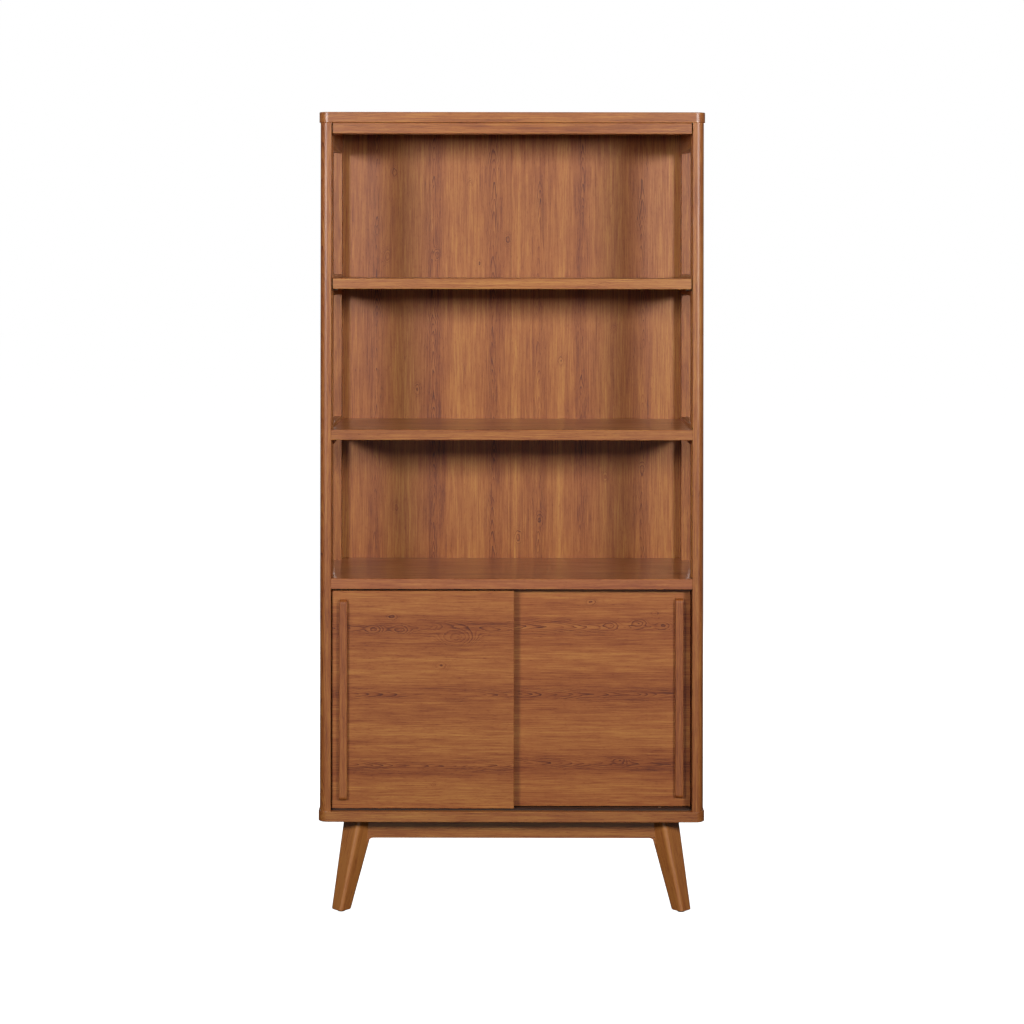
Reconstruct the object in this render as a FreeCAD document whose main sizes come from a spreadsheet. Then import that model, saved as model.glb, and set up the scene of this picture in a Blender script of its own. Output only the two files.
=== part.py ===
"""Bookcase with a two-door sliding cabinet below three open bays.

Millimetres. The origin is on the floor under the middle of the case: +X to the
right as seen from the front, +Y to the back, +Z up.
"""
import FreeCAD, Part
import Sketcher
import os
import re
from math import cos, pi, sin

from FreeCAD import Rotation, Vector

DRIVING = [
    # case
    ("panel_width", 882, "top and bottom panels, side to side"),
    ("panel_depth", 381, "top and bottom panels, front to back"),
    ("board", 24, "thickness of the panels, the deck and the shelves"),
    ("panel_corner_radius", 22, "plan corners of the top and bottom panels"),
    ("edge_ease", 1.5, "rounding of the boards' front edges"),
    ("overhang", 3, "panels past the posts, all round"),
    ("base_height", 213.5, "floor to the underside of the bottom panel"),
    ("cabinet_opening", 506.5, "clear height of the cabinet"),
    ("lower_bay", 316, "deck to the middle shelf"),
    ("middle_bay", 320.5, "middle shelf to the upper shelf"),
    ("upper_bay", 330.5, "upper shelf to the top rail"),
    ("post_width", 26, "posts, side to side"),
    ("front_post_depth", 69, "front posts, front to back"),
    ("rear_post_depth", 47.5, "rear posts, front to back"),
    ("post_corner_radius", 16, "outer corner of each front post"),
    ("rear_corner_radius", 4, "outer corner of each rear post"),
    ("reveal_lip", 6, "front post in front of its shadow groove"),
    ("reveal_width", 36, "shadow groove in a front post, front to back"),
    ("reveal_depth", 4, "depth of the shadow groove in a front post"),
    ("side_thickness", 18, "side panels of the cabinet and side rails above it"),
    ("side_rail_height", 48, "side rails at the two shelves"),
    ("side_rail_drop", 16, "side rails below the underside of their shelf"),
    ("top_side_rail_height", 54, "side rails under the top panel"),
    ("back_thickness", 8, "back panel"),
    ("back_rebate", 10, "rebate in the rear posts for the back panel"),
    ("back_clearance", 0.5, "back panel to the side of its rebate"),
    ("rail_height", 25, "top rail, up and down"),
    ("rail_depth", 40, "top rail, front to back"),
    ("rail_setback", 6, "top rail behind the front edge of the top panel"),
    ("rail_end_gap", 2.5, "open gap at each end of the top rail"),
    # loose shelves
    ("shelf_setback", 3, "upper shelf behind the face of the posts"),
    ("shelf_end_gap", 3, "loose shelf to the side pieces at its ends"),
    ("shelf_back_gap", 3, "loose shelf to the back panel"),
    ("inner_shelf_height", 241, "cabinet floor to the shelf inside the cabinet"),
    ("inner_shelf_gap", 8, "rear door to the shelf inside the cabinet"),
    ("pin_diameter", 5, "shelf pins"),
    ("pin_length", 16, "shelf pins, half of it in the side piece"),
    ("pin_clearance", 0.1, "shelf pin to the wall of its hole"),
    ("pin_setback", 28.5, "foremost shelf pins behind the front posts"),
    ("pin_pitch", 32, "pin hole to pin hole"),
    ("pin_holes", 5, "holes in each row inside the cabinet"),
    # doors
    ("door_setback", 13, "front door behind the front edge of the panels"),
    ("door_thickness", 12, "door panels"),
    ("door_gap", 12.5, "space between the two doors"),
    ("door_overlap", 11, "doors past each other when shut"),
    ("door_side_gap", 1.5, "shut door to its post"),
    ("door_bottom_gap", 4.5, "cabinet floor to the door"),
    ("door_top_gap", 5.3, "door to the deck"),
    ("door_ease", 1, "rounding of the doors' front edges"),
    ("handle_length", 458, "handle, up and down"),
    ("handle_width", 18.5, "handle, side to side"),
    ("handle_depth", 11, "handle in front of its door"),
    ("handle_inset", 17, "handle from the outer edge of its door"),
    ("handle_end_radius", 9, "rounding of the handle towards its ends"),
    ("handle_ease", 2, "rounding of the handle's long edges"),
    ("handle_screw_inset", 60, "handle screw from the end of the handle"),
    ("handle_screw_bite", 8, "handle screw inside the handle"),
    ("track_height", 3.5, "door tracks, up and down"),
    ("track_wall", 2.3, "door track beside its channels"),
    ("track_web", 1, "door track behind its channels"),
    ("track_end_gap", 0.5, "door track to each post"),
    ("channel_width", 4.4, "channels of the door tracks"),
    ("running_clearance", 0.3, "glides and guide pins to their channels"),
    ("glide_length", 30, "door glides, along the track"),
    ("glide_inset", 45, "glides and guide pins from the ends of a door"),
    ("peg_bite", 12, "pegs and guide pins inside the door"),
    # base
    ("foot_inset_side", 51, "foot centre from the side of the bottom panel"),
    ("foot_inset_front", 42, "foot centre from the front or back of the panel"),
    ("leg_splay", 41.6, "leg top towards the middle of the case, both ways"),
    ("foot_side", 35.5, "leg section at the foot, side of the square"),
    ("foot_corner_radius", 8, "corners of the leg section at the foot"),
    ("leg_top_side", 58, "leg section at the top, side of the square"),
    ("leg_top_corner_radius", 10, "corners of the leg section at the top"),
    ("foot_ease", 1.5, "bevel round the bottom of the legs"),
    ("foot_glide_height", 4.5, "floor to the wood of a leg"),
    ("foot_glide_diameter", 19, "foot glides"),
    ("foot_glide_ease", 1.5, "bottom edge of the foot glides"),
    ("nail_diameter", 3, "nail of a foot glide"),
    ("nail_length", 14, "nail of a foot glide"),
    ("apron_setback_front", 63, "apron behind the front or back edge of the panel"),
    ("apron_setback_side", 72, "apron inside the side edge of the panel"),
    ("apron_thickness", 20, "aprons"),
    ("apron_height", 51.5, "aprons"),
    ("apron_housing", 7.2, "leg axis at its top to the end of an apron"),
    ("apron_ear", 15, "aprons further down beside the legs"),
    ("apron_ear_width", 10.5, "ear of an apron, from its end"),
    ("apron_ear_radius", 13, "curve from the apron into its ear"),
    ("block_length", 85, "corner block along each apron"),
    ("block_height", 40, "corner blocks"),
    ("block_leg_gap", 1, "corner block to the top of the leg"),
    # fasteners
    ("dowel_diameter", 8, "dowels"),
    ("dowel_length", 30, "dowels"),
    ("dowel_inset", 40, "end dowels of a shelf from the posts"),
    ("dowel_row", 80, "upright side dowels from the middle of the case"),
    ("dowel_post_inset", 10, "post dowels from the outer face of the post"),
    ("dowel_rail_spread", 300, "rail dowels from the middle of the rail"),
    ("fastener_clearance", 0.1, "dowel, screw or bolt to the wall of its hole"),
    ("screw_diameter", 4, "shanks of the screws"),
    ("screw_head", 8, "countersunk heads"),
    ("screw_head_height", 2.4, "countersunk heads"),
    ("back_screw_length", 28, "back panel screws"),
    ("back_screw_inset", 5, "back panel screws from the rear posts' inner face"),
    ("track_screw_length", 15, "track screws"),
    ("track_screw_spread", 340, "end screws of a track from its middle"),
    ("base_screw_length", 56, "screws from the corner blocks into the panel"),
    ("bolt_diameter", 8, "leg bolts"),
    ("bolt_drop", 20, "leg bolts below the bottom panel"),
    ("bolt_bite", 30, "leg bolts inside the leg"),
    ("bolt_tail", 14, "leg bolts past the corner block"),
    ("washer_diameter", 20, "washers of the leg bolts"),
    ("washer_thickness", 1.6, "washers of the leg bolts"),
    ("nut_size", 14, "nuts of the leg bolts, corner to corner"),
    ("nut_height", 6.5, "nuts of the leg bolts"),
]

# Names for places that follow from the driving sizes.
DERIVED = {
    "half_width": "panel_width / 2",
    "half_depth": "panel_depth / 2",
    "post_outer": "half_width - overhang",
    "inner_wall": "post_outer - post_width",
    "front_face": "-half_depth + overhang",
    "rear_face": "half_depth - overhang",
    "front_post_back": "front_face + front_post_depth",
    "rear_post_front": "rear_face - rear_post_depth",
    "pin_row": "-front_post_back - pin_setback",
    "reveal_front": "front_face + reveal_lip",
    "reveal_back": "front_face + reveal_lip + reveal_width",
    "reveal_wall": "inner_wall + reveal_depth",
    "side_outer": "inner_wall + side_thickness",
    "side_middle": "inner_wall + side_thickness / 2",
    "back_front": "rear_face - back_thickness",
    "cabinet_floor": "base_height + board",
    "deck_bottom": "cabinet_floor + cabinet_opening",
    "middle_bottom": "deck_bottom + board + lower_bay",
    "upper_bottom": "middle_bottom + board + middle_bay",
    "rail_bottom": "upper_bottom + board + upper_bay",
    "top_bottom": "rail_bottom + rail_height",
    "wall_height": "top_bottom - cabinet_floor",
    "middle_rail_bottom": "middle_bottom - side_rail_drop",
    "upper_rail_bottom": "upper_bottom - side_rail_drop",
    "top_rail_bottom": "top_bottom - top_side_rail_height",
    "inner_shelf_bottom": "cabinet_floor + inner_shelf_height",
    "front_door_face": "-half_depth + door_setback",
    "rear_door_face": "front_door_face + door_thickness + door_gap",
    "door_bottom": "cabinet_floor + door_bottom_gap",
    "door_height": "cabinet_opening - door_bottom_gap - door_top_gap",
    "door_width": "inner_wall - door_side_gap + door_overlap / 2",
    "door_edge": "inner_wall - door_side_gap",
    "front_channel": "front_door_face + door_thickness / 2",
    "rear_channel": "rear_door_face + door_thickness / 2",
    "track_front": "front_channel - channel_width / 2 - track_wall",
    "track_back": "rear_channel + channel_width / 2 + track_wall",
    "track_length": "2 * (inner_wall - track_end_gap)",
    "handle_bottom": "door_bottom + (door_height - handle_length) / 2",
    "foot_x": "half_width - foot_inset_side",
    "foot_y": "half_depth - foot_inset_front",
    "leg_x": "foot_x - leg_splay",
    "leg_y": "foot_y - leg_splay",
    "apron_y": "half_depth - apron_setback_front",
    "apron_x": "half_width - apron_setback_side",
    "apron_bottom": "base_height - apron_height",
    "bolt_level": "base_height - bolt_drop",
    "bolt_shift": "leg_splay * bolt_drop / (base_height - foot_glide_height)",
}

doc = FreeCAD.newDocument("SlidingDoorBookcase")
sheet = doc.addObject("Spreadsheet::Sheet", "Sizes")
for row, (size_name, size_value, size_meaning) in enumerate(DRIVING, start=1):
    sheet.set(f"A{row}", size_name)
    sheet.set(f"B{row}", str(size_value))
    sheet.set(f"C{row}", size_meaning)
    sheet.setAlias(f"B{row}", size_name)
doc.recompute()

DRIVING_NAMES = {size_name for size_name, _value, _meaning in DRIVING}
SIDES = {"left": -1, "right": 1}
ENDS = {"front": -1, "rear": 1}
SIDE_RAILS = {"middle": ("middle_rail_bottom", "side_rail_height"),
              "upper": ("upper_rail_bottom", "side_rail_height"),
              "top": ("top_rail_bottom", "top_side_rail_height")}
nodes = []


# ---------------------------------------------------------------- helpers

def formula(text):
    """A formula in size names, spelled out in cells of the sheet."""
    def cell(match):
        word = match.group(0)
        if word in DERIVED:
            return "(" + formula(DERIVED[word]) + ")"
        return "Sizes." + word if word in DRIVING_NAMES else word
    return re.sub(r"[a-z_]+", cell, str(text))


def bind(target, **formulas):
    """Bind properties to formulas; __ in a property's name stands for a dot."""
    for name, text in formulas.items():
        target.setExpression(name.replace("__", "."), formula(text))


def place(target, x=0, y=0, z=0, turn=None):
    """Bind the place of a whole object, and turn it if asked."""
    if turn is not None:
        target.Placement.Rotation = turn
    bind(target, Placement__Base__x=x, Placement__Base__y=y, Placement__Base__z=z)


def keep(target, node):
    """Make an object one of the finished pieces."""
    target.Label = node
    nodes.append(target)
    return target


def new_body(name):
    return doc.addObject("PartDesign::Body", name)


def origin_feature(body, role):
    return next(item for item in body.Origin.OriginFeatures if item.Role == role)


def new_sketch(body, name, plane, level=0):
    """An empty sketch, level above one of its body's origin planes."""
    sketch = body.newObject("Sketcher::SketchObject", name)
    sketch.AttachmentSupport = [(origin_feature(body, plane), "")]
    sketch.MapMode = "FlatFace"
    bind(sketch, AttachmentOffset__Base__z=level)
    return sketch


def pin_point(sketch, geometry, point, start, formulas):
    """Hold one point of a sketch at a pair of formulas."""
    for kind, value, text in zip(("DistanceX", "DistanceY"), start, formulas):
        index = sketch.addConstraint(
            Sketcher.Constraint(kind, -1, 1, geometry, point, value))
        sketch.setExpression(f"Constraints[{index}]", formula(text))


def draw_outline(sketch, corners):
    """A closed polygon whose corners are pairs of formulas."""
    count = len(corners)
    turn = 2 * pi / count
    starts = [(10 * cos(turn * i), 10 * sin(turn * i)) for i in range(count)]
    for index, start in enumerate(starts):
        finish = starts[(index + 1) % count]
        sketch.addGeometry(Part.LineSegment(Vector(*start, 0), Vector(*finish, 0)))
    for index in range(count):
        sketch.addConstraint(
            Sketcher.Constraint("Coincident", index, 2, (index + 1) % count, 1))
    for index, corner in enumerate(corners):
        pin_point(sketch, index, 1, starts[index], corner)


def draw_circle(sketch, centre, diameter):
    """A circle whose centre and diameter are formulas."""
    index = sketch.addGeometry(Part.Circle(Vector(1, 1, 0), Vector(0, 0, 1), 1))
    pin_point(sketch, index, 3, (1, 1), centre)
    size = sketch.addConstraint(Sketcher.Constraint("Diameter", index, 2))
    sketch.setExpression(f"Constraints[{size}]", formula(diameter))


def draw_rounded_square(sketch, side, radius):
    """A square round the sketch's origin, its corners rounded."""
    corners = [(1, 1), (-1, 1), (-1, -1), (1, -1)]
    arcs = []
    for quarter, (right, upper) in enumerate(corners):
        circle = Part.Circle(Vector(15 * right, 15 * upper, 0), Vector(0, 0, 1), 5)
        arc = sketch.addGeometry(
            Part.ArcOfCircle(circle, quarter * pi / 2, (quarter + 1) * pi / 2))
        pin_point(sketch, arc, 3, (15 * right, 15 * upper),
                  (f"{right} * (({side}) / 2 - ({radius}))",
                   f"{upper} * (({side}) / 2 - ({radius}))"))
        size = sketch.addConstraint(Sketcher.Constraint("Radius", arc, 5))
        sketch.setExpression(f"Constraints[{size}]", formula(radius))
        arcs.append(arc)
    flats = [((15, 20), (-15, 20)), ((-20, 15), (-20, -15)),
             ((-15, -20), (15, -20)), ((20, -15), (20, 15))]
    for index, (start, finish) in enumerate(flats):
        flat = sketch.addGeometry(Part.LineSegment(Vector(*start, 0), Vector(*finish, 0)))
        following = arcs[(index + 1) % len(arcs)]
        sketch.addConstraint(Sketcher.Constraint("Tangent", arcs[index], 2, flat, 1))
        sketch.addConstraint(Sketcher.Constraint("Tangent", flat, 2, following, 1))


def rectangle(x_low, x_high, y_low, y_high):
    return [(x_low, y_low), (x_high, y_low), (x_high, y_high), (x_low, y_high)]


def pad(body, sketch, length):
    feature = body.newObject("PartDesign::Pad", "Pad")
    feature.Profile = sketch
    bind(feature, Length=length)
    sketch.Visibility = False
    doc.recompute()
    return feature


def plan_body(name, corners, level, height):
    """A body padded upwards from an outline in plan."""
    body = new_body(name)
    sketch = new_sketch(body, "Plan", "XY_Plane")
    draw_outline(sketch, corners)
    pad(body, sketch, height)
    place(body, z=level)
    doc.recompute()
    return body


def edges(shape, wanted):
    """Names of the edges for which wanted(edge) holds."""
    return [f"Edge{i}" for i, edge in enumerate(shape.Edges, start=1) if wanted(edge)]


def runs_along(edge, axis):
    """Whether an edge is straight and lies along an axis, 0 to 2."""
    if edge.Curve.TypeId != "Part::GeomLine":
        return False
    step = edge.lastVertex().Point - edge.firstVertex().Point
    return abs(abs(step[axis]) - step.Length) < 1e-6


def near(value, target):
    return abs(value - target) < 1e-4


def span(item, axis):
    """Lowest and highest corner of a shape along an axis, 0 to 2."""
    values = [vertex.Point[axis] for vertex in item.Vertexes]
    return min(values), max(values)


def within(edge, axis, value):
    """Whether both ends of an edge lie at one value along an axis."""
    return all(near(end, value) for end in span(edge, axis))


def round_edges(body, wanted, radius):
    """Fillet the edges of a body's last feature for which wanted(edge) holds."""
    base = body.Tip
    names = edges(base.Shape, wanted)
    if not names:
        raise RuntimeError(f"{body.Name}: no edge to round")
    fillet = body.newObject("PartDesign::Fillet", "Fillet")
    fillet.Base = (base, names)
    bind(fillet, Radius=radius)
    doc.recompute()
    return fillet


def round_vertical_corner(body, towards, radius):
    """Fillet the vertical edge that lies furthest towards a direction in plan."""
    def reach(edge):
        centre = edge.CenterOfMass
        return centre.x * towards[0] + centre.y * towards[1]
    upright = [edge for edge in body.Tip.Shape.Edges if runs_along(edge, 2)]
    furthest = max(reach(edge) for edge in upright)
    round_edges(body, lambda e: runs_along(e, 2) and near(reach(e), furthest), radius)


def ease_front(body, radius):
    """Fillet the long top and bottom edges at a board's front."""
    front = span(body.Tip.Shape, 1)[0]
    round_edges(body, lambda e: runs_along(e, 0) and within(e, 1, front), radius)


def box(name, x, y, z, length, width, height):
    item = doc.addObject("Part::Box", name)
    bind(item, Length=length, Width=width, Height=height)
    place(item, x, y, z)
    return item


def cylinder(name, x, y, z, diameter, length, direction=Vector(0, 0, 1)):
    item = doc.addObject("Part::Cylinder", name)
    bind(item, Radius=f"({diameter}) / 2", Height=length)
    place(item, x, y, z, Rotation(Vector(0, 0, 1), direction))
    return item


def cone(name, x, y, z, near_diameter, far_diameter, length, direction):
    item = doc.addObject("Part::Cone", name)
    bind(item, Radius1=f"({near_diameter}) / 2", Radius2=f"({far_diameter}) / 2",
         Height=length)
    place(item, x, y, z, Rotation(Vector(0, 0, 1), direction))
    return item


def fused(name, parts):
    item = doc.addObject("Part::MultiFuse", name)
    item.Shapes = parts
    return item


def group(name, parts):
    item = doc.addObject("Part::Compound", name)
    item.Links = parts
    return item


def cut(name, base, tools):
    item = doc.addObject("Part::Cut", name)
    item.Base = base
    item.Tool = tools[0] if len(tools) == 1 else group(name + "_tools", tools)
    return item


class Drilling:
    """The fasteners of one kind and, per piece, the holes they need."""

    def __init__(self):
        self.bores = {}
        self.made = {}

    def add(self, kind, item, bore, pieces):
        self.made.setdefault(kind, []).append(item)
        for piece in pieces:
            self.bores.setdefault(piece, []).append(bore)

    def finish(self, body, node):
        """A body with its holes cut, as a finished piece."""
        if node not in self.bores:
            return keep(body, node)
        body.Label = node + "_blank"
        return keep(cut(node + "_cut", body, self.bores[node]), node)

    def keep_fasteners(self):
        for kind, items in self.made.items():
            keep(group(kind + "_set", items), kind)


drilling = Drilling()


def add_dowel(x, y, z, along, pieces):
    """A dowel half in each of two pieces, centred where they meet."""
    direction = Vector(*[1 if axis == along else 0 for axis in "xyz"])
    start = {"x": x, "y": y, "z": z}
    start[along] = f"{start[along]} - dowel_length / 2"
    item = cylinder("Dowel", start["x"], start["y"], start["z"],
                    "dowel_diameter", "dowel_length", direction)
    start[along] = f"{start[along]} - fastener_clearance"
    bore = cylinder("DowelBore", start["x"], start["y"], start["z"],
                    "dowel_diameter + 2 * fastener_clearance",
                    "dowel_length + 2 * fastener_clearance", direction)
    drilling.add("carcass_dowels", item, bore, pieces)


def add_screw(kind, x, y, z, direction, length, pieces):
    """A countersunk screw; x, y, z is the middle of its flat head."""
    shank_x, shank_y, shank_z = (
        f"{start} + ({step}) * screw_head_height / 2"
        for start, step in zip((x, y, z), direction))
    item = fused("Screw", [
        cone("Head", x, y, z, "screw_head", "screw_diameter",
             "screw_head_height", direction),
        cylinder("Shank", shank_x, shank_y, shank_z, "screw_diameter",
                 f"{length} - screw_head_height / 2", direction)])
    slack = "2 * fastener_clearance"
    bore = fused("ScrewBore", [
        cone("Sink", x, y, z, f"screw_head + {slack}", f"screw_diameter + {slack}",
             "screw_head_height", direction),
        cylinder("Bore", x, y, z, f"screw_diameter + {slack}",
                 f"{length} + fastener_clearance", direction)])
    drilling.add(kind, item, bore, pieces)


# ---------------------------------------------------------------- fasteners

def lay_out_dowels():
    for side, sign in SIDES.items():
        middle = f"{sign} * side_middle"
        panel = side + "_side_panel"
        for node, level, below in (("top_panel", "top_bottom", side + "_top_side_rail"),
                                   ("deck", "deck_bottom", panel),
                                   ("bottom_panel", "cabinet_floor", panel)):
            for way in ENDS.values():
                add_dowel(middle, f"{way} * dowel_row", level, "z", [node, below])
        for end, face, centre in (
                ("front", "front_post_back", "front_face + front_post_depth / 2"),
                ("rear", "rear_post_front", "rear_face - rear_post_depth / 2")):
            post = f"{side}_{end}_post"
            for node, level in (("top_panel", "top_bottom"),
                                ("bottom_panel", "cabinet_floor")):
                add_dowel(f"{sign} * (post_outer - dowel_post_inset)", centre, level, "z",
                          [node, post])
            add_dowel(middle, face, "deck_bottom + board / 2", "y", ["deck", post])
            for name, (level, height) in SIDE_RAILS.items():
                for share in ("1 / 4", "3 / 4"):
                    add_dowel(middle, face, f"{level} + {height} * {share}", "y",
                              [f"{side}_{name}_side_rail", post])
        for y in ("front_post_back + dowel_inset", "0", "rear_post_front - dowel_inset"):
            add_dowel(f"{sign} * inner_wall", y, "middle_bottom + board / 2", "x",
                      ["middle_shelf", side + "_middle_side_rail"])
    for step in (-1, 0, 1):
        add_dowel(f"{step} * dowel_rail_spread",
                  "-half_depth + rail_setback + rail_depth / 2", "top_bottom", "z",
                  ["top_panel", "top_rail"])


def lay_out_screws():
    forward = Vector(0, -1, 0)
    up = Vector(0, 0, 1)
    for side, sign in SIDES.items():
        for step in range(6):
            add_screw("back_panel_screws", f"{sign} * (inner_wall + back_screw_inset)",
                      "rear_face", f"cabinet_floor + wall_height * (2 * {step} + 1) / 12",
                      forward, "back_screw_length", ["back_panel", side + "_rear_post"])
    for node, level in (("deck", "deck_bottom"), ("middle_shelf", "middle_bottom")):
        for step in (-1, 0, 1):
            add_screw("back_panel_screws", f"{step} * track_screw_spread", "rear_face",
                      f"{level} + board / 2", forward, "back_screw_length",
                      ["back_panel", node])
    for step in (-1, 0, 1):
        add_screw("track_screws", f"{step} * track_screw_spread",
                  "(front_channel + rear_channel) / 2", "cabinet_floor + track_height",
                  -up, "track_screw_length", ["lower_door_track", "bottom_panel"])
        add_screw("track_screws", f"{step} * track_screw_spread",
                  "(front_channel + rear_channel) / 2", "deck_bottom - track_height",
                  up, "track_screw_length", ["upper_door_track", "deck"])
    for end, way in ENDS.items():
        for side, sign in SIDES.items():
            for across, along in (("block_length - 10", "10"), ("10", "block_length - 10")):
                add_screw("base_screws",
                          f"{sign} * (apron_x - apron_thickness - ({across}))",
                          f"{way} * (apron_y - apron_thickness - ({along}))",
                          "base_height - block_height", up, "base_screw_length",
                          [f"{end}_{side}_corner_block", "bottom_panel"])


# ---------------------------------------------------------------- case

def make_panels():
    """The top and bottom panels: one outline, rounded in plan, edges eased."""
    for node, level in (("top_panel", "top_bottom"), ("bottom_panel", "base_height")):
        body = plan_body(node.title().replace("_", ""),
                         rectangle("-half_width", "half_width", "-half_depth", "half_depth"),
                         level, "board")
        round_edges(body, lambda e: runs_along(e, 2), "panel_corner_radius")
        round_edges(body, lambda e: not runs_along(e, 2), "edge_ease")
        drilling.finish(body, node)


def make_fixed_shelves():
    """The deck, out over the side panels, and the middle shelf between its rails."""
    ear = [("inner_wall", "front_face"), ("inner_wall", "reveal_front"),
           ("reveal_wall", "reveal_front"), ("reveal_wall", "reveal_back"),
           ("inner_wall", "reveal_back")]
    wing = [("inner_wall", "front_post_back"), ("side_outer", "front_post_back"),
            ("side_outer", "rear_post_front"), ("inner_wall", "rear_post_front")]
    for node, level, end in (("deck", "deck_bottom", ear + wing),
                             ("middle_shelf", "middle_bottom", ear)):
        right_side = end + [("inner_wall", "back_front")]
        left_side = [(f"-({x})", y) for x, y in reversed(right_side)]
        body = plan_body(node.title().replace("_", ""), right_side + left_side,
                         level, "board")
        ease_front(body, "edge_ease")
        drilling.finish(body, node)


def make_loose_shelves():
    """The adjustable upper shelf and the one inside the cabinet."""
    for node, level, front in (
            ("upper_shelf", "upper_bottom", "front_face + shelf_setback"),
            ("cabinet_shelf", "inner_shelf_bottom",
             "rear_door_face + door_thickness + inner_shelf_gap")):
        reach = "(inner_wall - shelf_end_gap)"
        body = plan_body(node.title().replace("_", ""),
                         rectangle(f"-{reach}", reach, front, "back_front - shelf_back_gap"),
                         level, "board")
        ease_front(body, "edge_ease")
        keep(body, node)


def make_shelf_pins():
    for node, level in (("upper_shelf_pins", "upper_bottom"),
                        ("cabinet_shelf_pins", "inner_shelf_bottom")):
        pins = [cylinder("ShelfPin", f"{sign} * inner_wall - pin_length / 2",
                         f"{way} * pin_row", f"{level} - pin_diameter / 2",
                         "pin_diameter", "pin_length", Vector(1, 0, 0))
                for sign in SIDES.values() for way in ENDS.values()]
        keep(group(node + "_set", pins), node)


def make_posts():
    for side, sign in SIDES.items():
        front = [("inner_wall", "front_face"), ("post_outer", "front_face"),
                 ("post_outer", "front_post_back"), ("inner_wall", "front_post_back"),
                 ("inner_wall", "reveal_back"), ("reveal_wall", "reveal_back"),
                 ("reveal_wall", "reveal_front"), ("inner_wall", "reveal_front")]
        rear = [("inner_wall", "rear_post_front"), ("post_outer", "rear_post_front"),
                ("post_outer", "rear_face"), ("inner_wall + back_rebate", "rear_face"),
                ("inner_wall + back_rebate", "back_front"), ("inner_wall", "back_front")]
        for end, outline, radius in (("front", front, "post_corner_radius"),
                                     ("rear", rear, "rear_corner_radius")):
            corners = [(f"{sign} * ({x})", y) for x, y in outline]
            body = plan_body(f"{side}{end}Post".title(), corners, "cabinet_floor",
                             "wall_height")
            round_vertical_corner(body, (sign, ENDS[end]), radius)
            if end == "front":
                round_vertical_corner(body, (-sign, -10), "edge_ease")
            drilling.finish(body, f"{side}_{end}_post")


def side_piece(name, sign, level, height):
    """A board between the posts of one side, its inner face in line with theirs."""
    return plan_body(name, rectangle(f"{sign} * inner_wall", f"{sign} * side_outer",
                                     "front_post_back", "rear_post_front"), level, height)


def bore_pin_holes(body, sign, level):
    """A pair of blind holes for shelf pins, level above the bottom of a side piece."""
    before = body.Tip.Shape.Volume
    sketch = new_sketch(body, "Pins", "YZ_Plane", f"{sign} * inner_wall")
    for way in ENDS.values():
        draw_circle(sketch, (f"{way} * pin_row", level), "pin_diameter + 2 * pin_clearance")
    doc.recompute()
    pocket = body.newObject("PartDesign::Pocket", "PinHoles")
    pocket.Profile = sketch
    pocket.Reversed = sign > 0
    bind(pocket, Length="pin_length / 2 + pin_clearance")
    sketch.Visibility = False
    doc.recompute()
    if pocket.Shape.Volume >= before:
        raise RuntimeError(f"{body.Name}: the pin holes miss it")
    return pocket


def make_side_panels():
    """Side panels of the cabinet, drilled with rows of shelf pin holes."""
    for side, sign in SIDES.items():
        body = side_piece(f"{side}SidePanel".title(), sign, "cabinet_floor",
                          "cabinet_opening")
        lowest = "inner_shelf_height - pin_diameter / 2 - pin_pitch * (pin_holes - 1) / 2"
        pocket = bore_pin_holes(body, sign, lowest)
        rows = body.newObject("PartDesign::LinearPattern", "PinRows")
        rows.Originals = [pocket]
        rows.Direction = (origin_feature(body, "Z_Axis"), [""])
        bind(rows, Length="pin_pitch * (pin_holes - 1)", Occurrences="pin_holes")
        body.Tip = rows
        doc.recompute()
        drilling.finish(body, side + "_side_panel")


def make_side_rails():
    """Rails from post to post at the shelves and under the top; the sides stay open."""
    for side, sign in SIDES.items():
        for name, (level, height) in SIDE_RAILS.items():
            body = side_piece(f"{side}{name}SideRail".title(), sign, level, height)
            low, high = span(body.Tip.Shape, 2)
            eased = [low] if name == "top" else [low, high]
            round_edges(body, lambda e: runs_along(e, 1) and any(
                within(e, 2, edge) for edge in eased), "edge_ease")
            if name == "upper":
                bore_pin_holes(body, sign, "side_rail_drop - pin_diameter / 2")
            drilling.finish(body, f"{side}_{name}_side_rail")


def make_back():
    reach = "(inner_wall + back_rebate - back_clearance)"
    body = plan_body("BackPanel", rectangle(f"-{reach}", reach, "back_front", "rear_face"),
                     "cabinet_floor", "wall_height")
    drilling.finish(body, "back_panel")


def make_rail():
    front = "-half_depth + rail_setback"
    reach = "(inner_wall - rail_end_gap)"
    body = plan_body("TopRail", rectangle(f"-{reach}", reach, front, f"{front} + rail_depth"),
                     "rail_bottom", "rail_height")
    ease_front(body, "edge_ease")
    drilling.finish(body, "top_rail")


# ---------------------------------------------------------------- doors

def make_tracks():
    """Twin-channel tracks: one on the cabinet floor, one under the deck."""
    for node, level, way in (("lower_door_track", "cabinet_floor", 1),
                             ("upper_door_track", "deck_bottom", -1)):
        web = f"{level} + {way} * track_web"
        rim = f"{level} + {way} * track_height"
        corners = [("track_front", level), ("track_back", level), ("track_back", rim)]
        for channel in ("rear_channel", "front_channel"):
            corners += [(f"{channel} + channel_width / 2", rim),
                        (f"{channel} + channel_width / 2", web),
                        (f"{channel} - channel_width / 2", web),
                        (f"{channel} - channel_width / 2", rim)]
        corners.append(("track_front", rim))
        body = new_body(node.title().replace("_", ""))
        sketch = new_sketch(body, "Section", "YZ_Plane", "-track_length / 2")
        draw_outline(sketch, corners)
        pad(body, sketch, "track_length")
        drilling.finish(body, node)


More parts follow.
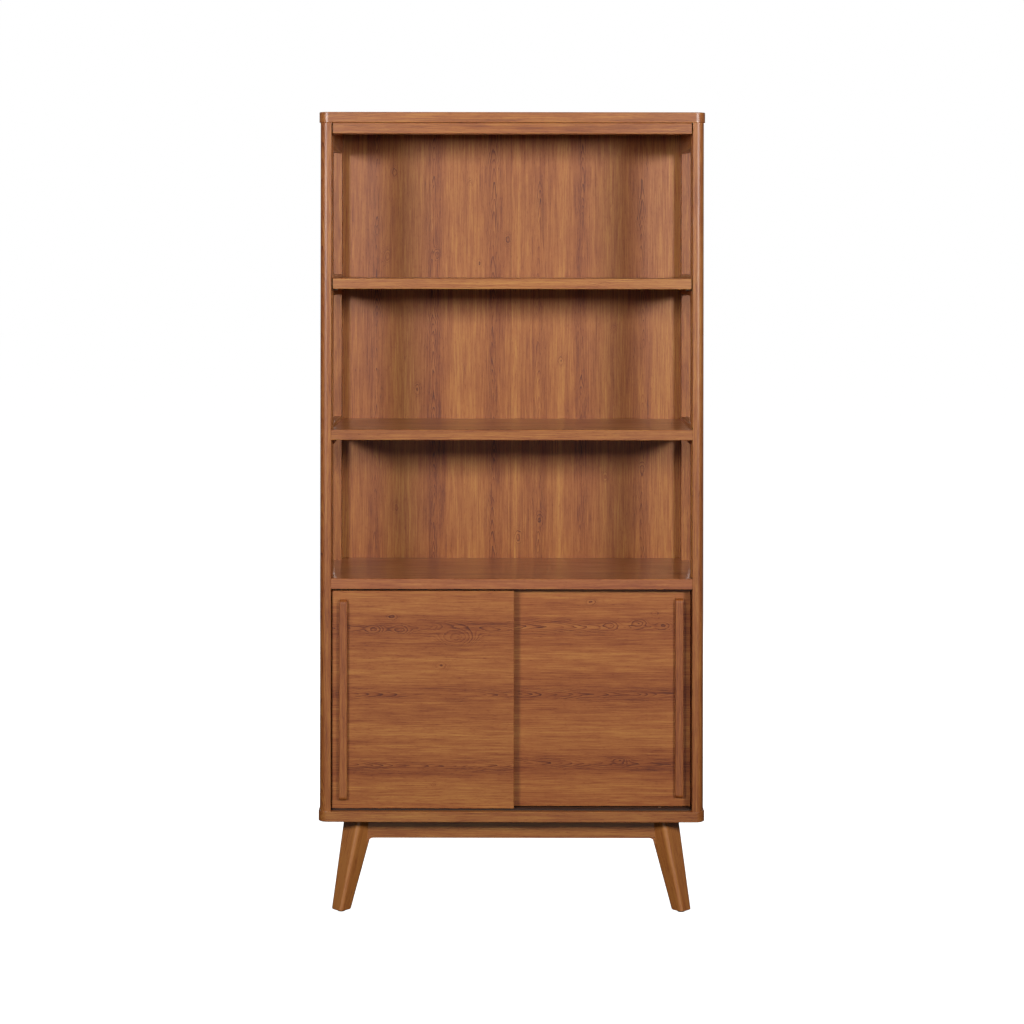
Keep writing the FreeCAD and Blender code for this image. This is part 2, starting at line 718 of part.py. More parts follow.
def add_door_fasteners(side, sign, face, channel):
    """Handle screws, bottom glides and top guide pins of one door."""
    handle_x = f"{sign} * (door_edge - handle_inset - handle_width / 2)"
    for level in ("handle_bottom + handle_screw_inset",
                  "handle_bottom + handle_length - handle_screw_inset"):
        add_screw(side + "_handle_screws", handle_x, f"{face} + door_thickness", level,
                  Vector(0, -1, 0), "(door_thickness + handle_screw_bite)",
                  [side + "_door_panel", side + "_door_handle"])
    pad_width = "channel_width - 2 * running_clearance"
    drop = "door_bottom_gap - track_web - running_clearance"
    rise = "door_top_gap - track_web - running_clearance"
    door_top = "door_bottom + door_height"
    for x in (f"{sign} * (door_edge - glide_inset)",
              f"{sign} * (door_edge - door_width + glide_inset)"):
        glide = fused("Glide", [
            box("Pad", f"{x} - glide_length / 2", f"{channel} - ({pad_width}) / 2",
                f"door_bottom - ({drop})", "glide_length", pad_width, drop),
            cylinder("Peg", x, channel, f"door_bottom - ({drop}) / 2", pad_width,
                     f"peg_bite + ({drop}) / 2")])
        bore = cylinder("PegBore", x, channel, "door_bottom - fastener_clearance",
                        f"{pad_width} + 2 * fastener_clearance",
                        "peg_bite + 2 * fastener_clearance")
        drilling.add(side + "_door_glides", glide, bore, [side + "_door_panel"])
        pin = cylinder("GuidePin", x, channel, f"{door_top} - peg_bite", pad_width,
                       f"peg_bite + {rise}")
        bore = cylinder("PinBore", x, channel, f"{door_top} - peg_bite - fastener_clearance",
                        f"{pad_width} + 2 * fastener_clearance",
                        "peg_bite + 2 * fastener_clearance")
        drilling.add(side + "_door_guide_pins", pin, bore, [side + "_door_panel"])


def make_handle(side, sign, face):
    """A tall bar, rounded towards both ends, its long edges eased."""
    body = new_body(f"{side}Handle".title())
    sketch = new_sketch(body, "Side", "YZ_Plane", "-handle_width / 2")
    draw_outline(sketch, rectangle(f"{face} - handle_depth", face, "0", "handle_length"))
    pad(body, sketch, "handle_width")
    front, back = span(body.Tip.Shape, 1)
    round_edges(body, lambda e: runs_along(e, 0) and within(e, 1, front),
                "handle_end_radius")
    round_edges(body, lambda e: not runs_along(e, 0) and not within(e, 1, back),
                "handle_ease")
    place(body, f"{sign} * (door_edge - handle_inset - handle_width / 2)", 0,
          "handle_bottom")
    drilling.finish(body, side + "_door_handle")


def make_doors():
    for side, sign in SIDES.items():
        face = "front_door_face" if side == "left" else "rear_door_face"
        channel = "front_channel" if side == "left" else "rear_channel"
        add_door_fasteners(side, sign, face, channel)
        outer = f"{sign} * door_edge"
        inner = f"{sign} * (door_edge - door_width)"
        body = plan_body(f"{side}Door".title(),
                         rectangle(outer, inner, face, f"{face} + door_thickness"),
                         "door_bottom", "door_height")
        front = span(body.Tip.Shape, 1)[0]
        round_edges(body, lambda e: within(e, 1, front), "door_ease")
        drilling.finish(body, side + "_door_panel")
        make_handle(side, sign, face)


# ---------------------------------------------------------------- base

def make_aprons():
    """Rails under the case; each widens into an ear beside the legs."""
    long_reach = "(leg_x - apron_housing)"
    short_reach = "(leg_y - apron_housing)"
    made = {}
    for end, way in ENDS.items():
        low = "apron_y - apron_thickness" if way > 0 else "-apron_y"
        made[end] = apron_body(f"{end}Apron".title(), "XZ_Plane", long_reach,
                               f"-({low}) - apron_thickness")
    for side, sign in SIDES.items():
        low = "apron_x - apron_thickness" if sign > 0 else "-apron_x"
        made[side] = apron_body(f"{side}Apron".title(), "YZ_Plane", short_reach, low)
    for name, body in made.items():
        keep(body, name + "_apron")
    return made


def apron_body(name, plane, reach, level):
    body = new_body(name)
    sketch = new_sketch(body, "Elevation", plane, level)
    ear_bottom = "apron_bottom - apron_ear"
    ear_side = f"{reach} - apron_ear_width"
    right = [(ear_side, "apron_bottom"), (ear_side, ear_bottom), (reach, ear_bottom),
             (reach, "base_height")]
    left = [(f"-({x})", z) for x, z in reversed(right)]
    draw_outline(sketch, right + left)
    pad(body, sketch, "apron_thickness")
    across = 1 if plane == "XZ_Plane" else 0
    underside = sorted({round(v.Z, 4) for v in body.Tip.Shape.Vertexes})[1]
    round_edges(body, lambda e: runs_along(e, across) and within(e, 2, underside),
                "apron_ear_radius")
    return body


def make_foot_glide(name, x, y):
    body = new_body(name)
    sketch = new_sketch(body, "Profile", "XZ_Plane")
    radius = "foot_glide_diameter / 2"
    draw_outline(sketch, [
        ("0", "0"), (f"{radius} - foot_glide_ease", "0"), (radius, "foot_glide_ease"),
        (radius, "foot_glide_height"), ("nail_diameter / 2", "foot_glide_height"),
        ("nail_diameter / 2", "foot_glide_height + nail_length"),
        ("0", "foot_glide_height + nail_length")])
    doc.recompute()
    turned = body.newObject("PartDesign::Revolution", "Turned")
    turned.Profile = sketch
    turned.ReferenceAxis = (sketch, ["V_Axis"])
    turned.Angle = 360
    sketch.Visibility = False
    place(body, x, y, 0)
    doc.recompute()
    return body


def leg_blank(name, sign, way):
    """A splayed, tapered leg: a rounded square with one corner to the front."""
    body = new_body(name)
    sections = []
    for title, x, y, level, side, radius in (
            ("Sole", "foot_x", "foot_y", "foot_glide_height",
             "foot_side - 2 * foot_ease", "foot_corner_radius - foot_ease"),
            ("Ankle", "foot_x", "foot_y", "foot_glide_height + foot_ease",
             "foot_side", "foot_corner_radius"),
            ("Head", "leg_x", "leg_y", "base_height",
             "leg_top_side", "leg_top_corner_radius")):
        sketch = new_sketch(body, title, "XY_Plane", level)
        sketch.AttachmentOffset.Rotation = Rotation(Vector(0, 0, 1), 45)
        bind(sketch, AttachmentOffset__Base__x=f"{sign} * ({x})",
             AttachmentOffset__Base__y=f"{way} * ({y})")
        draw_rounded_square(sketch, side, radius)
        sketch.Visibility = False
        sections.append(sketch)
    doc.recompute()
    loft = body.newObject("PartDesign::AdditiveLoft", "Taper")
    loft.Profile = sections[0]
    loft.Sections = sections[1:]
    loft.Ruled = True
    doc.recompute()
    return body


def corner_block(name, sign, way):
    """A glued block between two aprons, its outer face towards the leg."""
    corner_x = "apron_x - apron_thickness"
    corner_y = "apron_y - apron_thickness"
    # plan distance, along an apron, from the aprons' corner to the leg's inner face
    start = ("(leg_top_side / sqrt(2) + block_leg_gap"
             f" - (leg_x - ({corner_x})) - (leg_y - ({corner_y})))")
    corners = [("block_length", "0"), (start, "0"), ("0", start), ("0", "block_length")]
    placed = [(f"{sign} * ({corner_x} - ({x}))", f"{way} * ({corner_y} - ({y}))")
              for x, y in corners]
    return plan_body(name, placed, "base_height - block_height", "block_height")


def leg_bolt(sign, way):
    """A bolt from the corner block into the leg, with its washer and nut."""
    # distance along the diagonal from the leg's axis to the inner face of the block
    reach = ("((leg_x + bolt_shift - apron_x + apron_thickness"
             " + leg_y + bolt_shift - apron_y + apron_thickness + block_length)"
             " / sqrt(2))")
    axis_x = f"{sign} * (leg_x + bolt_shift)"
    axis_y = f"{way} * (leg_y + bolt_shift)"
    outwards = Vector(sign, way, 0).normalize()

    def point(distance):
        """A point on the bolt's axis, towards the middle of the case."""
        return (f"{axis_x} - {sign} * ({distance}) / sqrt(2)",
                f"{axis_y} - {way} * ({distance}) / sqrt(2)", "bolt_level")

    inner_end = f"{reach} + bolt_tail"
    length = f"{inner_end} + bolt_bite / 2"
    rod = cylinder("Rod", *point(inner_end), "bolt_diameter", length, outwards)
    washer = cylinder("Washer", *point(f"{reach} + washer_thickness"), "washer_diameter",
                      "washer_thickness", outwards)
    nut = doc.addObject("Part::Prism", "Nut")
    nut.Polygon = 6
    bind(nut, Circumradius="nut_size / 2", Height="nut_height")
    place(nut, *point(f"{reach} + washer_thickness + nut_height"),
          Rotation(Vector(0, 0, 1), outwards))
    bore = cylinder("BoltBore", *point(f"{inner_end} + 1"),
                    "bolt_diameter + 2 * fastener_clearance",
                    f"{length} + 1 + fastener_clearance", outwards)
    return fused("LegBolt", [rod, washer, nut]), bore


def make_base(aprons):
    """Four legs housed on the aprons, with their glides, blocks and bolts."""
    for end, way in ENDS.items():
        for side, sign in SIDES.items():
            corner = f"{end}_{side}"
            title = corner.title().replace("_", "")
            foot = (f"{sign} * foot_x", f"{way} * foot_y")
            keep(make_foot_glide(title + "Glide", *foot), corner + "_foot_glide")
            nail = cylinder("NailBore", *foot, "0",
                            "nail_diameter + 2 * fastener_clearance",
                            "foot_glide_height + nail_length + fastener_clearance")
            bolt, bolt_bore = leg_bolt(sign, way)
            block = corner + "_corner_block"
            drilling.add("leg_bolts", bolt, bolt_bore, [block])
            blank = leg_blank(title + "Leg", sign, way)
            blank.Label = corner + "_leg_blank"
            tools = [aprons[end], aprons[side], bolt_bore, nail]
            keep(cut(title + "LegCut", blank, tools), corner + "_leg")
            drilling.finish(corner_block(title + "Block", sign, way), block)


# ---------------------------------------------------------------- whole

def check_and_write():
    doc.recompute()
    for item in doc.Objects:
        if "Invalid" in item.State or "Error" in item.State:
            raise RuntimeError(f"{item.Label} ({item.Name}) did not compute: {item.State}")
    os.makedirs("parts", exist_ok=True)
    for item in nodes:
        shape = item.Shape
        if shape.isNull() or not shape.isValid() or not shape.Solids:
            raise RuntimeError(f"{item.Label} has no valid solid")
    for item in nodes:
        item.Shape.exportStep(f"parts/{item.Label}.step")
        print(f"{item.Label}: {len(item.Shape.Solids)} solid(s), "
              f"{item.Shape.Volume / 1000:.1f} cm3")


lay_out_dowels()
lay_out_screws()
make_panels()
make_fixed_shelves()
make_loose_shelves()
make_shelf_pins()
make_posts()
make_side_panels()
make_side_rails()
make_back()
make_rail()
make_tracks()
make_doors()
make_base(make_aprons())
drilling.keep_fasteners()
check_and_write()
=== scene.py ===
"""Finishes for the sliding-door bookcase: veneers, lacquered wood, plastic and steel.

Laid out as an add-on whose operators each dress one group of pieces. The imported
model is loaded as it stands; nothing here moves or resizes it.
"""

from math import pi, radians

import bmesh
import bpy
from bpy.props import FloatProperty, FloatVectorProperty, PointerProperty
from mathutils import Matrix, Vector


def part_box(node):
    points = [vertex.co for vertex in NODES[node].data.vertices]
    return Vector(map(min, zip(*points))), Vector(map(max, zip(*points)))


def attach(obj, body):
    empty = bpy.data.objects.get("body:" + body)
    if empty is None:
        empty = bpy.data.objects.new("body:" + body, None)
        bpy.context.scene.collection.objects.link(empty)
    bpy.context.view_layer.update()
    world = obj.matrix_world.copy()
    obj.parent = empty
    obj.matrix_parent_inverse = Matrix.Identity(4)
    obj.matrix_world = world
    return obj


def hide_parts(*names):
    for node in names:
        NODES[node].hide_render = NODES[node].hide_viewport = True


bl_info = {
    "name": "Sliding-door bookcase finishes",
    "version": (1, 0, 0),
    "blender": (4, 5, 0),
    "location": "3D View > Sidebar > Bookcase",
    "description": "Dresses the bookcase in veneer, lacquered wood, plastic and steel",
    "category": "Object",
}

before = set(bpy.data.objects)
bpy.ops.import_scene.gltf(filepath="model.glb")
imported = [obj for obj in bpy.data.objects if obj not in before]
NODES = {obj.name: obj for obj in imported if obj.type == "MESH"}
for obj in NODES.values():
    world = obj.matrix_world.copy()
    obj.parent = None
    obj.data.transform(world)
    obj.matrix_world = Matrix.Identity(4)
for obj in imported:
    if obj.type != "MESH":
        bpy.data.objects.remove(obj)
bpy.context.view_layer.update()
MM = 0.001

CORNERS = [f"{end}_{side}" for end in ("front", "rear") for side in ("left", "right")]


def linear(code):
    """An sRGB hex colour as linear red, green, blue and alpha."""
    channels = [int(code[i:i + 2], 16) / 255 for i in (1, 3, 5)]
    return tuple(c / 12.92 if c <= 0.04045 else ((c + 0.055) / 1.055) ** 2.4
                 for c in channels) + (1.0,)


def add(tree, kind, *values, **named):
    """Add a node: values fill its inputs in order, Capitalised names fill inputs
    by name, and lower-case names are its settings. A node stands for its output."""
    node = tree.nodes.new(kind)
    for name, value in named.items():
        if name[0].islower():
            setattr(node, name, value)
    given = list(zip(node.inputs, values))
    given += [(node.inputs[name.replace("_", " ")], value)
              for name, value in named.items() if name[0].isupper()]
    for socket, value in given:
        if isinstance(value, bpy.types.Node):
            value = next(output for output in value.outputs if output.enabled)
        if isinstance(value, bpy.types.NodeSocket):
            tree.links.new(value, socket)
        elif value is not None:
            socket.default_value = value
    return node


def new_material(name):
    """An empty node material."""
    material = bpy.data.materials.new(name)
    material.use_nodes = True
    material.node_tree.nodes.clear()
    return material, material.node_tree


def finish_material(tree, shader):
    """Lead a shader to the material's output."""
    add(tree, "ShaderNodeOutputMaterial", shader)


def dress(material, *names):
    """Give CAD nodes a material through their own slots."""
    for name in names:
        slots = NODES[name].data.materials
        for index in range(len(slots)):
            slots[index] = material
        if not slots:
            slots.append(material)


# ---------------------------------------------------------------- settings

class VeneerSettings(bpy.types.PropertyGroup):
    """Colours and figure of the wood."""
    line: FloatVectorProperty(
        name="Ring line", description="Thin dark line at the end of a growth ring",
        subtype="COLOR", size=4, min=0, max=1, default=linear("#59260e"))
    shade: FloatVectorProperty(
        name="Dark streak", description="Reddish brown of the darker streaks",
        subtype="COLOR", size=4, min=0, max=1, default=linear("#88461b"))
    body: FloatVectorProperty(
        name="Body", description="Middle brown of the wood",
        subtype="COLOR", size=4, min=0, max=1, default=linear("#a4622d"))
    light: FloatVectorProperty(
        name="Light streak", description="Tan of the lighter streaks",
        subtype="COLOR", size=4, min=0, max=1, default=linear("#bb803e"))
    ring: FloatProperty(
        name="Ring spacing", description="Growth ring to growth ring, in millimetres",
        default=3.1, min=1)
    arch: FloatProperty(
        name="Arch depth", description="How deep the arches are cut, in millimetres",
        default=16.0, min=0)
    taper: FloatProperty(
        name="Taper", description="Rings crossed per ring of length: the arches' slope",
        default=0.09, min=0)
    wander: FloatProperty(
        name="Wander", description="How far the centre lines wander, in millimetres",
        default=26.0, min=0)
    roughness: FloatProperty(
        name="Roughness", description="Roughness of the satin lacquer",
        subtype="FACTOR", default=0.45, min=0, max=1)


class HardwareSettings(bpy.types.PropertyGroup):
    """Sizes of the small steel pieces."""
    recess_width: FloatProperty(
        name="Recess width", description="Slots of a cross recess",
        subtype="DISTANCE", unit="LENGTH", default=1.0 * MM)
    recess_length: FloatProperty(
        name="Recess length", description="Cross recess from end to end",
        subtype="DISTANCE", unit="LENGTH", default=4.6 * MM)
    recess_depth: FloatProperty(
        name="Recess depth", description="Depth of a cross recess",
        subtype="DISTANCE", unit="LENGTH", default=1.6 * MM)
    pin_bevel: FloatProperty(
        name="Pin bevel", description="Bevel round the ends of a shelf pin",
        subtype="DISTANCE", unit="LENGTH", default=0.6 * MM)
    thread_pitch: FloatProperty(
        name="Thread pitch", description="Thread of the leg bolts",
        subtype="DISTANCE", unit="LENGTH", default=1.25 * MM)


class StageSettings(bpy.types.PropertyGroup):
    """Camera, lights and floor."""
    lens: FloatProperty(
        name="Lens", description="Focal length in millimetres on a 36 mm sensor",
        default=79.93, min=10)
    distance: FloatProperty(
        name="Distance", description="Camera to the middle of the case",
        subtype="DISTANCE", unit="LENGTH", default=5.3705)
    height: FloatProperty(
        name="Height", description="Camera above the floor",
        subtype="DISTANCE", unit="LENGTH", default=1.4958)
    floor_radius: FloatProperty(
        name="Floor radius", description="Size of the studio floor",
        subtype="DISTANCE", unit="LENGTH", default=40.0)


# ---------------------------------------------------------------- wood

# Noise in the wood: millimetres along and across the grain, detail, and its
# weight in the tone.
BANDS = (1500, 40, 1.0, 0.40)
STREAKS = (300, 9, 2.0, 0.50)
CLOUDS = (36, 14, 2.0, 0.20)
# Fibres and pores are far finer than they are drawn here, or they would not show.
FIBRES = (80, 2.4, 3.0, 0.90)
PORES = (11, 1.6, 1.0, -0.16)
LATEWOOD_WEIGHT = -1.05
LATEWOOD_SHARPNESS = 4.0
RING_WEIGHT = 0.06
KNOT_WEIGHT = -0.22
SEAM_WEIGHT = -0.28
BETWEEN_ARCHES_WEIGHT = 0.13
MIDDLE_TONE = 0.66
# A knot's oval is longer than wide, and its rings stand wider apart.
KNOT_FLATNESS = 0.55
KNOT_RING_SCALE = 0.5
# How uneven the rings and the knots' ovals are, in millimetres.
RING_UNEVEN = 2.6
KNOT_BEND = 7.0
# The legs' four quarters take their figure from places this far apart, in millimetres.
QUARTER_SHIFT = 430.0

def figure(tree, space, along, across, detail=2.0):
    """Noise drawn out along the grain: sizes along and across it in millimetres."""
    stretched = add(tree, "ShaderNodeVectorMath", space,
                    (1 / along, 1 / across, 1 / across), operation="MULTIPLY")
    return add(tree, "ShaderNodeTexNoise", Vector=stretched, Scale=1.0, Detail=detail,
               Roughness=0.55)


def distance_to_columns(tree, across, columns):
    """Millimetres across the grain to the nearest of the figure's centre lines."""
    nearest = None
    for column in columns:
        away = add(tree, "ShaderNodeMath",
                   add(tree, "ShaderNodeMath", across, column, operation="SUBTRACT"),
                   operation="ABSOLUTE")
        nearest = away if nearest is None else add(
            tree, "ShaderNodeMath", nearest, away, 9.0, operation="SMOOTH_MIN")
    return nearest


def ring_round_knots(tree, along, across, reach, knots):
    """Close the rings round the knots: (along, across, radius) each, in millimetres.

    Gives the new reach, how near a knot lies and how dark its core is, both 0 to 1.
    """
    close = dark = 0.0
    for knot_along, knot_across, radius in knots:
        offset = add(tree, "ShaderNodeCombineXYZ",
                     add(tree, "ShaderNodeMath", along, knot_along, operation="SUBTRACT"),
                     add(tree, "ShaderNodeMath", across, knot_across + KNOT_BEND / 2,
                         operation="SUBTRACT"))
        flat = add(tree, "ShaderNodeVectorMath", offset, (KNOT_FLATNESS, 1, 1),
                   operation="MULTIPLY")
        away = add(tree, "ShaderNodeVectorMath", flat, operation="LENGTH")
        near = add(tree, "ShaderNodeMapRange", away, 1.2 * radius, 4.2 * radius, 1.0, 0.0,
                   interpolation_type="SMOOTHERSTEP")
        oval = add(tree, "ShaderNodeMath", away, KNOT_RING_SCALE, operation="MULTIPLY")
        reach = add(tree, "ShaderNodeMix", near, A=reach, B=oval)
        core = add(tree, "ShaderNodeMapRange", away, 0.6, 0.5 + 0.3 * radius, 1.0, 0.0,
                   interpolation_type="SMOOTHSTEP")
        close = add(tree, "ShaderNodeMath", close, near, operation="MAXIMUM")
        dark = add(tree, "ShaderNodeMath", dark, core, operation="MAXIMUM")
    return reach, close, dark


def wood(name, grain, columns, seed, knots=(), lean=0.0, tone=0.0, red=0.0,
         gloss=0.35, sliced=False, seam=None):
    """Satin lacquered cherry: fine fibres, thin growth lines that run straight or
    close into narrow pointed arches along a few centre lines. To the eye it is a warm
    red-brown with soft darker streaks, and a lacquer that blurs what it mirrors.

    grain names the axes along, across and into the wood; columns are the centre
    lines of the arches. lean is the slope of legs that lean in towards the top. tone
    above 0 is lighter, and red above 0 is redder. Sliced wood shows its figure on one
    face; other pieces show straight lines on every long face. seam is where two
    leaves of veneer meet.
    """
    look = bpy.context.scene.bookcase_veneer
    material, tree = new_material(name)
    millimetres = add(tree, "ShaderNodeVectorMath",
                      add(tree, "ShaderNodeTexCoord").outputs["Object"],
                      operation="SCALE", Scale=1000)
    axes = add(tree, "ShaderNodeSeparateXYZ", millimetres).outputs
    along, across, depth = (axes["XYZ".index(axis)] for axis in grain)
    if lean:
        sides = []
        for value in (across, depth):
            size = add(tree, "ShaderNodeMath", value, operation="ABSOLUTE")
            sides.append(add(tree, "ShaderNodeMath", along, lean, size,
                             operation="MULTIPLY_ADD"))
            sign = add(tree, "ShaderNodeMath", value, operation="SIGN")
            along = add(tree, "ShaderNodeMath", sign, QUARTER_SHIFT * len(sides), along,
                        operation="MULTIPLY_ADD")
        across, depth = sides
    space = add(tree, "ShaderNodeVectorMath",
                add(tree, "ShaderNodeCombineXYZ", along, across, depth),
                (seed * 1310.0, seed * 470.0, seed * 290.0), operation="ADD")

    # growth rings: distance from pith lines that run just below the surface
    cut_across = across
    if not sliced and not lean:
        cut_across = add(tree, "ShaderNodeMath", across, depth, operation="ADD")
    wander = add(tree, "ShaderNodeMath",
                 add(tree, "ShaderNodeMath", figure(tree, space, 330, 110, 1.0), 0.5,
                     operation="SUBTRACT"), look.wander, cut_across, operation="MULTIPLY_ADD")
    side = distance_to_columns(tree, wander, columns)
    below = add(tree, "ShaderNodeMath", figure(tree, space, 120, 100, 1.0), look.arch,
                look.arch * -0.24, operation="MULTIPLY_ADD")
    reach = add(tree, "ShaderNodeVectorMath",
                add(tree, "ShaderNodeCombineXYZ", side, below), operation="LENGTH")
    bent = add(tree, "ShaderNodeMath", figure(tree, space, 26, 9), KNOT_BEND, across,
               operation="MULTIPLY_ADD")
    reach, close, core = ring_round_knots(tree, along, bent, reach, knots)
    uneven = add(tree, "ShaderNodeMath", figure(tree, space, 42, 5), RING_UNEVEN, reach,
                 operation="MULTIPLY_ADD")
    rising = add(tree, "ShaderNodeMath", along, look.taper, uneven,
                 operation="MULTIPLY_ADD")
    rings = add(tree, "ShaderNodeMath", rising, look.ring, operation="DIVIDE")
    phase = add(tree, "ShaderNodeMath", rings, operation="FRACT")
    count = add(tree, "ShaderNodeMath", rings, operation="FLOOR")
    ring_tone = add(tree, "ShaderNodeTexWhiteNoise", W=count, noise_dimensions="1D")
    latewood = add(tree, "ShaderNodeMath", phase, LATEWOOD_SHARPNESS, operation="POWER")
    strength = add(tree, "ShaderNodeMapRange", ring_tone, 0.0, 1.0, 0.25, 1.0)
    latewood = add(tree, "ShaderNodeMath", latewood, strength, operation="MULTIPLY")
    middle = add(tree, "ShaderNodeMapRange", side, 6.0, 24.0, 1.0,
                 0.25 if sliced else 0.65)
    middle = add(tree, "ShaderNodeMath", middle, close, operation="MAXIMUM")
    latewood = add(tree, "ShaderNodeMath", latewood, middle, operation="MULTIPLY")
    patchy = add(tree, "ShaderNodeMapRange", figure(tree, space, 90, 22), 0.40, 0.60,
                 0.25, 1.0)
    patchy = add(tree, "ShaderNodeMath", patchy, close, operation="MAXIMUM")
    latewood = add(tree, "ShaderNodeMath", latewood, patchy, operation="MULTIPLY")
    between = add(tree, "ShaderNodeMapRange", side, 12.0, 60.0, 0.0, 1.0)

    fibre = figure(tree, space, *FIBRES[:3])
    pores = add(tree, "ShaderNodeMapRange", figure(tree, space, *PORES[:3]), 0.58, 0.72,
                0.0, 1.0)
    parts = [(figure(tree, space, *BANDS[:3]), 0.5, BANDS[3]),
             (figure(tree, space, *STREAKS[:3]), 0.5, STREAKS[3]), (fibre, 0.5, FIBRES[3]),
             (figure(tree, space, *CLOUDS[:3]), 0.5, CLOUDS[3]),
             (ring_tone, 0.5, RING_WEIGHT), (latewood, 0.0, LATEWOOD_WEIGHT),
             (pores, 0.0, PORES[3]), (core, 0.0, KNOT_WEIGHT)]
    if sliced:
        parts.append((between, 0.5, BETWEEN_ARCHES_WEIGHT))
    if seam is not None:
        joint = add(tree, "ShaderNodeMapRange",
                    add(tree, "ShaderNodeMath",
                        add(tree, "ShaderNodeMath", across, seam, operation="SUBTRACT"),
                        operation="ABSOLUTE"), 0.5, 1.1, 1.0, 0.0)
        parts.append((joint, 0.0, SEAM_WEIGHT))
    total = MIDDLE_TONE + tone
    for value, centre, weight in parts:
        centred = add(tree, "ShaderNodeMath", value, centre, operation="SUBTRACT")
        total = add(tree, "ShaderNodeMath", centred, weight, total,
                    operation="MULTIPLY_ADD")
    colour = add(tree, "ShaderNodeValToRGB", total)
    stops = colour.color_ramp.elements
    stops[0].position, stops[0].color = 0.08, look.line
    stops[1].position, stops[1].color = 0.92, look.light
    for position, value in ((0.36, look.shade), (0.62, look.body)):
        stops.new(position).color = value
    colour = add(tree, "ShaderNodeVectorMath", colour, (1, 1 - red, 1 - red),
                 operation="MULTIPLY")

    roughness = add(tree, "ShaderNodeMapRange", fibre, 0.3, 0.7,
                    look.roughness + 0.05, look.roughness - 0.05)
    relief = add(tree, "ShaderNodeBump", Strength=0.25, Distance=0.0002, Height=fibre)
    finish_material(tree, add(
        tree, "ShaderNodeBsdfPrincipled", Base_Color=colour, Roughness=roughness,
        Normal=relief, IOR=1.5, Coat_Weight=gloss, Coat_Roughness=0.32 - 0.12 * gloss))
    return material


def plain(name, colour, roughness, grit=1.2, metallic=0.0, relief=0.12, spread=0.12):
    """A moulded or plated finish: one colour with faint mottling and fine relief.

    grit is the size of the relief in millimetres.
    """
    material, tree = new_material(name)
    coords = add(tree, "ShaderNodeTexCoord").outputs["Object"]
    grains = add(tree, "ShaderNodeTexNoise", Vector=coords, Scale=1000 / grit, Detail=3.0)
    cloud = add(tree, "ShaderNodeTexNoise", Vector=coords, Scale=1000 / 22, Detail=2.0)
    base = linear(colour)
    tint = add(tree, "ShaderNodeValToRGB", cloud)
    ends = tint.color_ramp.elements
    ends[0].position, ends[0].color = 0.3, tuple(c * (1 - spread) for c in base[:3]) + (1,)
    ends[1].position, ends[1].color = 0.7, tuple(
        min(1, c * (1 + spread)) for c in base[:3]) + (1,)
    rough = add(tree, "ShaderNodeMapRange", cloud, 0.3, 0.7, roughness - 0.05,
                roughness + 0.05)
    bumps = add(tree, "ShaderNodeBump", Strength=relief, Distance=0.0001, Height=grains)
    finish_material(tree, add(
        tree, "ShaderNodeBsdfPrincipled", Base_Color=tint, Roughness=rough,
        Normal=bumps, Metallic=metallic))
    return material


# ---------------------------------------------------------------- hardware

# Steel pieces, sized as their solids are.
SCREW_HEAD = 8 * MM
SCREW_HEAD_HEIGHT = 2.4 * MM
SCREW_SHANK = 4 * MM
PIN_DIAMETER = 5 * MM
BOLT_DIAMETER = 8 * MM
BOLT_TAIL = 14 * MM
WASHER_DIAMETER = 20 * MM
WASHER_THICKNESS = 1.6 * MM
NUT_CORNERS = 14 * MM
NUT_HEIGHT = 6.5 * MM

def solids(name):
    """Corner points of each solid of a CAD node, one list per solid, in metres."""
    shape = bmesh.new()
    shape.from_mesh(NODES[name].data)
    bmesh.ops.remove_doubles(shape, verts=shape.verts, dist=1e-6)
    left = set(shape.verts)
    found = []
    while left:
        front = [left.pop()]
        points = []
        while front:
            vertex = front.pop()
            points.append(vertex.co.copy())
            for edge in vertex.link_edges:
                other = edge.other_vert(vertex)
                if other in left:
                    left.remove(other)
                    front.append(other)
        found.append(points)
    shape.free()
    return found


def reach_along(points, direction):
    """Lowest and highest distance of points along a direction."""
    distances = [point.dot(direction) for point in points]
    return min(distances), max(distances)


def seat(points, axis, inwards=0.0):
    """The point on a turned solid's axis, inwards from its far end along the axis."""
    axis = Vector(axis).normalized()
    side = axis.orthogonal().normalized()
    other = axis.cross(side)
    place = axis * (reach_along(points, axis)[1] - inwards)
    for direction in (side, other):
        place += direction * (sum(reach_along(points, direction)) / 2)
    return place, axis


def new_group(name, sizes):
    """A geometry node group that takes points, a material and named sizes."""
    group = bpy.data.node_groups.new(name, "GeometryNodeTree")
    sockets = [("Points", "NodeSocketGeometry"), ("Material", "NodeSocketMaterial")]
    sockets += [(size, "NodeSocketFloat") for size in sizes]
    for title, kind in sockets:
        group.interface.new_socket(title, in_out="INPUT", socket_type=kind)
    group.interface.new_socket("Pieces", in_out="OUTPUT", socket_type="NodeSocketGeometry")
    return group, add(group, "NodeGroupInput").outputs


def sum_of(group, *terms):
    """A size made of sizes, each times a number."""
    total = 0.0
    for size, factor in terms:
        total = add(group, "ShaderNodeMath", size, factor, total, operation="MULTIPLY_ADD")
    return total


def lifted(group, shape, height, turn=(0, 0, 0)):
    """A shape turned, then moved along Z."""
    return add(group, "GeometryNodeTransform", Geometry=shape, Rotation=turn,
               Translation=add(group, "ShaderNodeCombineXYZ", 0, 0, height))


def joined(group, *shapes):
    """Several shapes as one."""
    node = add(group, "GeometryNodeJoinGeometry")
    for shape in shapes:
        group.links.new(shape.outputs[0], node.inputs[0])
    return node


